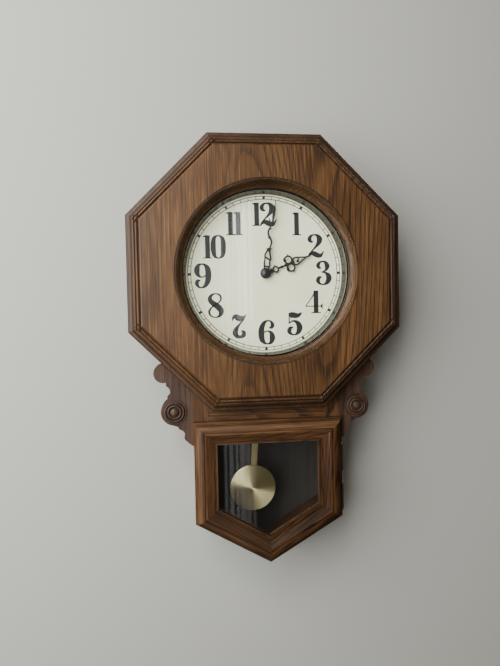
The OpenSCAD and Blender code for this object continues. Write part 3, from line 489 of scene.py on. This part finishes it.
def brass_parts():
    dress(spun_metal("brass_ring", (58, 58, 60), (116, 113, 108), rough=0.24, turns=1800.0,
                     centre=DIAL), "dial_ring")
    dress(spun_metal("brass_bob", (196, 178, 128), (230, 214, 166), rough=0.34, turns=1500.0,
                     centre=middle("pendulum_bob"), anisotropy=0.92), "pendulum_bob")
    dress(drawn_metal("brass_rod", (176, 150, 96), (222, 204, 156), rough=0.3,
                      across=2500.0, along=60.0), "pendulum_rod")
    dress(drawn_metal("brass_plain", (150, 138, 108), (206, 196, 164), rough=0.32,
                      across=900.0, along=900.0), "bushing_nut", "movement_bushing")
    dress(drawn_metal("brass_aged", (70, 58, 38), (112, 96, 66), rough=0.5,
                      across=900.0, along=900.0), "octagon_hinge_leaves",
          "case_hinge_leaves", "door_hinge_leaves", "hinge_pins")


def steel_parts():
    dress(drawn_metal("steel", (150, 152, 156), (206, 208, 212), rough=0.34,
                      across=700.0, along=700.0), "hanger_plate", "case_screws",
          "drive_magnet", "motor_stator")


def moulded_parts():
    dress(moulded("black_paint", (20, 21, 23), (34, 35, 38), rough=0.42), "minute_hand",
          "hour_hand", "hand_nut")
    dress(moulded("black_plastic", (24, 24, 25), (38, 38, 40), rough=0.5),
          "movement_front_case", "movement_back_case", "pendulum_hanger", "set_knob",
          "access_cover")
    dress(moulded("magnet_ferrite", (52, 52, 54), (78, 78, 80), rough=0.5, metallic=0.4),
          "catch_magnets", "motor_rotor")
    dress(moulded("gear_plastic", (216, 212, 200), (234, 230, 220), rough=0.34),
          "centre_wheel", "hour_wheel", "minute_wheel", "third_wheel", "seconds_wheel",
          "intermediate_wheel")


def electric_parts():
    dress(circuit(), "circuit_board")
    dress(winding("copper_motor", "motor_coil"), "motor_coil")
    dress(winding("copper_pendulum", "pendulum_coil"), "pendulum_coil")
    dress(cell_jacket(), "battery")


# ---------- the dial's printing ----------

# Inner and outer radii of the minute track's two lines and of its ticks, in mm
OUTER_LINE = (119.5, 120.6)
INNER_LINE = (114.8, 115.9)
TICKS = (115.6, 119.9)
# Widths of the ticks, in degrees
HOUR_TICK = 2.0
MINUTE_TICK = 0.50
# Steps round a full ring, and curve steps from one point of a stroke to the next
RING_STEPS = 192
PER_SPAN = 7
# The pen is a little wider than the strokes say, and never thinner than a hairline
PEN_WIDTH = 1.1
HAIRLINE = 0.02
# How high the numerals are drawn below, and how high and how far out they are printed
DRAWN_HEIGHT = 98.0
NUMERAL_HEIGHT = 35.8
NUMERAL_RADIUS = 92.0
# Space between two digits, in the units they are drawn in
DIGIT_GAP = -2.0
# How far the ink stands off the dial, in metres
TRACK_THICKNESS = 0.00004
NUMERAL_THICKNESS = 0.00005


def sides(cell):
    """Each corner of a cell with the next one round."""
    return zip(cell, cell[1:] + cell[:1])


def flat_piece(name, polygons, thickness, material, body):
    """A thin flat piece on the dial's front. Each polygon is an outline, as points
    (across, up) in mm from the dial's centre, and its cells, as lists of indices."""
    points, faces = [], []
    for outline, cells in polygons:
        start = len(points)
        points.extend(outline)
        faces.extend([start + i for i in cell] for cell in cells)
    count = len(points)
    vertices = [(DIAL.x + x * MM, y, DIAL.z + z * MM)
                for y in (DIAL_FRONT - thickness, DIAL_FRONT) for x, z in points]
    edges = {edge: None for cell in faces for edge in sides(cell)}
    solid = faces + [[i + count for i in reversed(cell)] for cell in faces]
    solid += [[b, a, a + count, b + count] for a, b in edges if (b, a) not in edges]
    mesh = bpy.data.meshes.new(name)
    mesh.from_pydata(vertices, [], solid)
    mesh.validate()
    mesh.update()
    piece = add_object(name, mesh)
    mesh.materials.append(material)
    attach(piece, body)


def face_room(outline, cells):
    """Turns every cell anticlockwise as seen from the room."""
    ordered = []
    for cell in cells:
        area = sum(outline[a][0] * outline[b][1] - outline[b][0] * outline[a][1]
                   for a, b in sides(cell))
        ordered.append(list(cell) if area > 0 else list(reversed(cell)))
    return outline, ordered


def arc_band(inner, outer, start, stop, steps):
    """A band between two radii, with angles clockwise from twelve in degrees."""
    outline = []
    for i in range(steps + 1):
        angle = math.radians(start + (stop - start) * i / steps)
        for radius in (inner, outer):
            outline.append((radius * math.sin(angle), radius * math.cos(angle)))
    cells = [[2 * i, 2 * i + 1, 2 * i + 3, 2 * i + 2] for i in range(steps)]
    return face_room(outline, cells)


def ring_band(inner, outer):
    """A full ring, whose last two points are its first two."""
    outline, cells = arc_band(inner, outer, 0, 360, RING_STEPS)
    last = len(outline) - 2
    return outline[:last], [[i % last for i in cell] for cell in cells]


def smooth_path(points):
    """Catmull-Rom curve through points of (x, y, width)."""
    path = [points[0], *points, points[-1]]
    made = []
    for a, b, c, d in zip(path, path[1:], path[2:], path[3:]):
        for step in range(PER_SPAN):
            u = step / PER_SPAN
            made.append(tuple(
                0.5 * (2 * q + (r - p) * u + (2 * p - 5 * q + 4 * r - s) * u * u
                       + (3 * q - p - 3 * r + s) * u ** 3)
                for p, q, r, s in zip(a, b, c, d)))
    made.append(tuple(points[-1]))
    return made


def stroke(points):
    """A pen stroke whose width changes along it."""
    path = smooth_path(points)
    outline = []
    for i, (x, y, width) in enumerate(path):
        before, after = path[max(i - 1, 0)], path[min(i + 1, len(path) - 1)]
        along = Vector((after[0] - before[0], after[1] - before[1]))
        along.normalize()
        half = max(width * PEN_WIDTH, HAIRLINE) / 2
        outline.append((x - along.y * half, y + along.x * half))
        outline.append((x + along.y * half, y - along.x * half))
    cells = [[2 * i, 2 * i + 1, 2 * i + 3, 2 * i + 2] for i in range(len(path) - 1)]
    return face_room(outline, cells)


def loop(points):
    """A closed pen stroke: one that starts a point early and ends two late, with the
    overlaps cut off and its ends joined."""
    span = 2 * PER_SPAN
    outline, _ = stroke([points[-1], *points, points[0], points[1]])
    outline = outline[span:span * (len(points) + 1)]
    count = len(outline)
    cells = [[i, i + 1, (i + 3) % count, (i + 2) % count] for i in range(0, count, 2)]
    return face_room(outline, cells)


def bar(x0, y0, x1, y1):
    """An upright rectangle."""
    return face_room([(x0, y0), (x1, y0), (x1, y1), (x0, y1)], [[0, 1, 2, 3]])


# Each numeral is a list of polygons, drawn upwards from a base line with strokes whose
# points are (x, y, width)


def numeral_one():
    return [bar(8, 0, 29, 98), bar(-1, 0, 38, 5),
            stroke([(19, 95, 7), (9, 94, 7), (0, 92, 4)])]


def numeral_two():
    return [stroke([(22, 66, 4), (12, 67, 11), (7, 78, 15), (13, 91, 10), (26, 96, 6),
                    (38, 92, 13), (46, 79, 20), (43, 62, 17), (31, 44, 9), (15, 26, 5),
                    (4, 10, 4), (1, 1, 3)]),
            stroke([(2, 3, 4), (10, 14, 12), (22, 16, 19), (35, 9, 20), (47, 7, 17),
                    (55, 13, 9), (61, 26, 3)])]


def numeral_three():
    return [stroke([(21, 70, 4), (12, 71, 11), (8, 81, 14), (15, 92, 9), (27, 96, 6),
                    (38, 91, 13), (44, 78, 18), (41, 65, 12), (32, 56, 6), (21, 53, 4)]),
            stroke([(21, 53, 4), (36, 50, 8), (48, 39, 18), (50, 24, 20), (42, 9, 14),
                    (28, 2.5, 6), (14, 6, 9), (7, 18, 15), (12, 30, 12), (22, 32, 4)])]


def numeral_four():
    return [bar(35, 0, 55, 98), bar(25, 0, 65, 5),
            stroke([(45, 96, 7), (24, 63, 4), (2, 31, 4)]),
            bar(1, 28, 67, 32.5),
            face_room([(61, 30.5), (73, 44), (73, 17)], [[0, 1, 2]])]


def numeral_five():
    return [stroke([(9, 84, 22), (20, 88, 23), (34, 85, 21), (46, 88, 15), (57, 98, 4)]),
            bar(5, 50, 10, 97),
            stroke([(8, 51, 4), (17, 60, 6), (30, 61, 10), (43, 50, 18), (48, 31, 21),
                    (41, 11, 15), (28, 2.5, 6), (14, 6, 10), (7, 19, 16), (13, 32, 13),
                    (24, 34, 4)])]


def numeral_six():
    return [stroke([(40, 68, 4), (50, 69, 12), (54, 80, 14), (47, 93, 8), (36, 96, 6),
                    (23, 89, 13), (13, 70, 19), (10, 45, 21), (13, 20, 19), (23, 6, 10),
                    (34, 2, 5)]),
            stroke([(34, 2, 5), (47, 8, 13), (53, 27, 20), (49, 45, 14), (38, 54, 6),
                    (26, 52, 5), (18, 44, 4)])]


def numeral_seven():
    return [stroke([(2, 72, 3), (5, 85, 11), (15, 89, 21), (29, 83, 23), (42, 83, 18),
                    (52, 91, 9), (57, 99, 3)]),
            stroke([(54, 92, 4), (45, 76, 5), (28, 55, 8), (16, 38, 16), (12, 21, 20),
                    (19, 8, 16), (33, 5, 12), (45, 11, 16), (46, 24, 14), (36, 31, 5)])]


def numeral_eight():
    return [loop([(31, 96, 5), (17, 91, 9), (10, 77, 14), (17, 62, 18), (33, 49, 21),
                  (46, 35, 21), (50, 21, 17), (43, 7, 10), (29, 2, 5), (13, 8, 6),
                  (7, 24, 8), (15, 40, 6), (31, 53, 5), (45, 64, 5), (50, 78, 7),
                  (45, 91, 7)])]


def numeral_nine():
    """A six turned upside down."""
    return [([(60 - x, 98.5 - y) for x, y in outline], cells)
            for outline, cells in numeral_six()]


def numeral_nought():
    return [loop([(31, 96.5, 5), (15, 87, 14), (10, 66, 20), (10, 34, 20), (15, 11, 14),
                  (31, 1.5, 5), (47, 11, 14), (52, 34, 20), (52, 66, 20), (47, 87, 14)])]


# Each numeral's shape, its width, and how far it is stretched across and up
NUMERALS = {"0": (numeral_nought, 62, 1.0, 1.0), "1": (numeral_one, 35, 1.0, 1.0),
            "2": (numeral_two, 60, 1.12, 1.0), "3": (numeral_three, 61, 1.12, 1.06),
            "4": (numeral_four, 72, 1.06, 1.0), "5": (numeral_five, 59, 1.12, 1.0),
            "6": (numeral_six, 63, 1.12, 1.06), "7": (numeral_seven, 58, 1.06, 1.02),
            "8": (numeral_eight, 59, 1.18, 1.06), "9": (numeral_nine, 63, 1.12, 1.06)}
# The hours that stand off their even places, in mm across and up
NUDGES = {1: (5.0, -2.5), 2: (1.5, -3.0), 3: (2.0, 0.0), 4: (-2.5, 0.5), 6: (1.0, 0.0),
          7: (4.0, -2.0), 8: (1.0, -2.5), 9: (-4.0, -2.5), 10: (1.5, -4.0), 11: (-1.0, -2.0)}


def hour_label(hour):
    """Polygons of one upright hour number, centred at its hour on the dial."""
    scale = NUMERAL_HEIGHT / DRAWN_HEIGHT
    digits = [NUMERALS[digit] for digit in str(hour)]
    width = sum(wide * stretch for _, wide, stretch, _ in digits)
    width += DIGIT_GAP * (len(digits) - 1)
    angle = math.radians(30 * hour)
    across, up = NUDGES.get(hour, (0.0, 0.0))
    left = NUMERAL_RADIUS * math.sin(angle) + across - width * scale / 2
    centre = NUMERAL_RADIUS * math.cos(angle) + up
    made = []
    for shape, wide, stretch, tall in digits:
        base = centre - NUMERAL_HEIGHT * tall / 2
        for outline, cells in shape():
            placed = [(left + x * stretch * scale, base + y * tall * scale) for x, y in outline]
            made.append((placed, cells))
        left += (wide * stretch + DIGIT_GAP) * scale
    return made


def minute_track():
    """Polygons of two thin rings, and of a tick from one to the other at each minute."""
    made = [ring_band(*OUTER_LINE), ring_band(*INNER_LINE)]
    for minute in range(60):
        half = (HOUR_TICK if minute % 5 == 0 else MINUTE_TICK) / 2
        angle = 6 * minute
        made.append(arc_band(*TICKS, angle - half, angle + half, 2))
    return made


def dial_printing():
    """The dial's two pieces of raised ink."""
    black = ink()
    flat_piece("dial_minute_track", minute_track(), TRACK_THICKNESS, black, "case")
    numbers = [polygon for hour in range(1, 13) for polygon in hour_label(hour)]
    flat_piece("dial_numerals", numbers, NUMERAL_THICKNESS, black, "case")


# ---------- screw heads on the hinges ----------

HEAD_RISE = 0.4 * MM
HEAD_RADIUS = 2.5 * MM
HEAD_TOP_RADIUS = 2.1 * MM
# A dark bar across the head paints the shade in its slot: length, width and thickness
SLOT_SHADE_BAR = (3.6 * MM, 0.6 * MM, 0.04 * MM)
# From the pin to a leaf's outer face, and to its screws, which stand nearer to the pin
# on the lower door's side
LEAF_FACE = 1.3 * MM
LEAF_REACH = 11 * MM
SIDE_LEAF_REACH = 6.2 * MM
# The screws' heights from the middle of their leaf
LEAF_HALF_HEIGHT = 21 * MM
SCREW_ROWS = (-14 * MM, 0.0, 14 * MM)


def screw_heads(name, body, facing, places):
    """One piece of small screw heads that face out along an axis, each with a dark bar
    painted across it as the shade in its slot.
    """
    turn = Vector(facing).to_track_quat("Z", "Y").to_matrix().to_4x4()
    made = bmesh.new()
    for place in places:
        at = Matrix.Translation(place) @ turn
        bmesh.ops.create_cone(made, cap_ends=True, segments=28, radius1=HEAD_RADIUS,
                              radius2=HEAD_TOP_RADIUS, depth=HEAD_RISE,
                              matrix=at @ Matrix.Translation((0.0, 0.0, HEAD_RISE / 2)))
        on_top = at @ Matrix.Translation((0.0, 0.0, HEAD_RISE))
        # The slot is no groove: a thin dark bar on the head paints its shade
        cut = bmesh.ops.create_cube(made, size=1.0,
                                    matrix=on_top @ Matrix.Diagonal((*SLOT_SHADE_BAR, 1.0)))
        for corner in cut["verts"]:
            for face in corner.link_faces:
                face.material_index = 1
    mesh = bpy.data.meshes.new(name)
    made.to_mesh(mesh)
    made.free()
    piece = add_object(name, mesh)
    mesh.materials.append(drawn_metal(name + "_brass", (84, 70, 46), (128, 110, 76),
                                      rough=0.42, across=900.0, along=900.0))
    # Near black for the bars: painted shade in the slots
    mesh.materials.append(moulded(name + "_slot_shade", (10, 10, 10), (18, 18, 18), rough=0.8))
    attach(piece, body)


def screw_heights(leaves):
    """Heights of three screws in each of two leaves, the lowest and the highest."""
    low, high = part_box(leaves)
    return [hinge + row for hinge in (low.z + LEAF_HALF_HEIGHT, high.z - LEAF_HALF_HEIGHT)
            for row in SCREW_ROWS]


def hinge_screws():
    """Screws in the octagon's leaves on its back, in the lower door's on its right side,
    and in the case's own leaves on the case's right side."""
    pins = {joint["name"]: Vector(joint["pos_m"])
            for joint in frame["record"]["behaviour"]["joints"]}
    octagon, door = pins["octagon_door_hinge"], pins["lower_door_hinge"]
    octagon_heights = screw_heights("octagon_hinge_leaves")
    door_heights = screw_heights("door_hinge_leaves")
    on_back = [(octagon.x + LEAF_REACH, octagon.y - LEAF_FACE, z) for z in octagon_heights]
    on_side = [(door.x - LEAF_FACE, door.y - SIDE_LEAF_REACH, z) for z in door_heights]
    on_case = [(pin.x - LEAF_FACE, pin.y + LEAF_REACH, z)
               for pin, heights in ((octagon, octagon_heights), (door, door_heights))
               for z in heights]
    screw_heads("octagon_door_hinge_screws", "octagon_door", (0, 1, 0), on_back)
    screw_heads("lower_door_hinge_screws", "lower_door", (1, 0, 0), on_side)
    screw_heads("case_hinge_screws", "case", (1, 0, 0), on_case)


# ---------- stage, lights and camera ----------


def wall_paint():
    """Pale wall, open from behind so that the clock's back can be looked at."""
    t = Tree("wall_paint")
    grit = t.noise(t.place(), 700.0, 3.0, 0.6)
    paint = t.node("BsdfPrincipled", Base_Color=srgb(160, 156, 150), Roughness=0.85,
                   Normal=t.bump(grit, 0.05, 0.0005))
    behind = t.node("NewGeometry").outputs["Backfacing"]
    return t.shade_two(behind, paint, t.node("BsdfTransparent"))


def backdrop_plane(name, corners, material):
    """One face of the stage, which is no piece of the clock."""
    mesh = bpy.data.meshes.new(name)
    mesh.from_pydata(corners, [], [[0, 1, 2, 3]])
    mesh.update()
    plane = add_object(name, mesh)
    mesh.materials.append(material)
    # The glass mirrors neither plane
    plane.visible_glossy = False
    return plane


def stage():
    paint = wall_paint()
    wall_y = 0.0006
    floor_z = -2.3
    reach = 4.0
    wall = backdrop_plane("wall", [(-reach, wall_y, floor_z), (reach, wall_y, floor_z),
                                   (reach, wall_y, reach), (-reach, wall_y, reach)], paint)
    # The light behind the wall still reaches the clock's back
    wall.visible_shadow = False
    backdrop_plane("floor", [(-reach, -reach, floor_z), (reach, -reach, floor_z),
                             (reach, wall_y, floor_z), (-reach, wall_y, floor_z)], paint)


def lamp(name, place, target, size, watts, colour=(1.0, 1.0, 1.0)):
    """A rectangular lamp that faces a target."""
    data = bpy.data.lights.new(name, "AREA")
    data.shape = "RECTANGLE"
    data.size, data.size_y = size
    data.energy = watts
    data.color = colour
    made = add_object(name, data)
    made.location = place
    aim = Vector(target) - Vector(place)
    made.rotation_euler = aim.to_track_quat("-Z", "Y").to_euler()
    return made


def keep_off_glass(light):
    """Keeps a lamp out of the glass, which mirrors the curtained window instead."""
    panes = bpy.data.collections.new(light.name + "_panes")
    for node in ("bezel_glass", "door_glass"):
        panes.objects.link(frame["nodes"][node])
    for pane in panes.collection_objects:
        pane.light_linking.link_state = "EXCLUDE"
    light.light_linking.receiver_collection = panes


def room_light():
    """Even light from the room: brighter above the horizon than below it."""
    world = bpy.data.worlds.new("room")
    world.use_nodes = True
    nodes, links = world.node_tree.nodes, world.node_tree.links
    around = nodes.new("ShaderNodeTexCoord")
    height = nodes.new("ShaderNodeSeparateXYZ")
    ramp = nodes.new("ShaderNodeMapRange")
    ramp.interpolation_type = "SMOOTHSTEP"
    for name, value in (("From Min", -0.35), ("From Max", 0.6), ("To Min", 0.07),
                        ("To Max", 0.18)):
        ramp.inputs[name].default_value = value
    links.new(around.outputs["Generated"], height.inputs[0])
    links.new(height.outputs["Z"], ramp.inputs["Value"])
    background = nodes["Background"]
    background.inputs["Color"].default_value = (1.0, 0.94, 0.86, 1.0)
    links.new(ramp.outputs[0], background.inputs["Strength"])
    bpy.context.scene.world = world


def window_lights():
    """The daylight at the left, and a weaker light from high up that lifts the front."""
    key = lamp("key_window", place=(-1.0, -1.0, 0.2), target=(-0.1, 0.0, -0.2),
               size=(1.6, 1.9), watts=80.0, colour=(0.94, 1.0, 0.99))
    high = lamp("high_window", place=(-0.6, -1.8, 1.5), target=(0.0, 0.0, -0.25),
                size=(0.6, 0.6), watts=12.0, colour=(1.0, 0.985, 0.95))
    keep_off_glass(key)
    keep_off_glass(high)


def curtain_lights():
    """A tall curtained window behind the camera, which the glass mirrors as soft stripes."""
    distance = 3.0
    first_x, spacing = 0.094, 0.042
    # Each stripe's width, and its glow above and below the sill
    stripes = ((0.02, 0.7, 0.6), (0.03, 1.0, 0.7), (0.015, 1.0, 0.9), (0.04, 2.2, 0.6),
               (0.03, 3.4, 0.5), (0.02, 3.0, 0.4))
    foot, sill, head = -2.2, -0.2, 0.66
    for number, (wide, upper, lower) in enumerate(stripes):
        x = first_x + spacing * number
        for part, glow, low, high in (("upper", upper, sill, head), ("lower", lower, foot, sill)):
            z, tall = (low + high) / 2, high - low
            lamp(f"curtain_{part}_{number}", place=(x, -distance, z), target=(x, 0.0, z),
                 size=(wide, tall), watts=math.pi * wide * tall * glow)


def back_light():
    """Lights the clock's back, for views from behind."""
    lamp("back_fill", place=(1.1, 1.3, 0.5), target=(0.0, 0.0, -0.25), size=(1.2, 1.2),
         watts=30.0)


def camera():
    """Stands a little left of the dial and below it, looking slightly right and down."""
    data = bpy.data.cameras.new("camera")
    data.sensor_width = 36.0
    data.lens = 27.08
    made = add_object("camera", data)
    eye = Vector((DIAL.x - 0.1112, OCTAGON_FRONT - 0.74259, DIAL.z - 0.06537))
    degrees = (88.0243234, 1.1553302, -6.3121584)
    turn = Euler([math.radians(angle) for angle in degrees])
    made.matrix_world = Matrix.LocRotScale(eye, turn, None)
    bpy.context.scene.camera = made


case_timber()
door_timber()
boards_glass_and_dial()
brass_parts()
steel_parts()
moulded_parts()
electric_parts()
dial_printing()
hinge_screws()
stage()
window_lights()
curtain_lights()
back_light()
room_light()
camera()
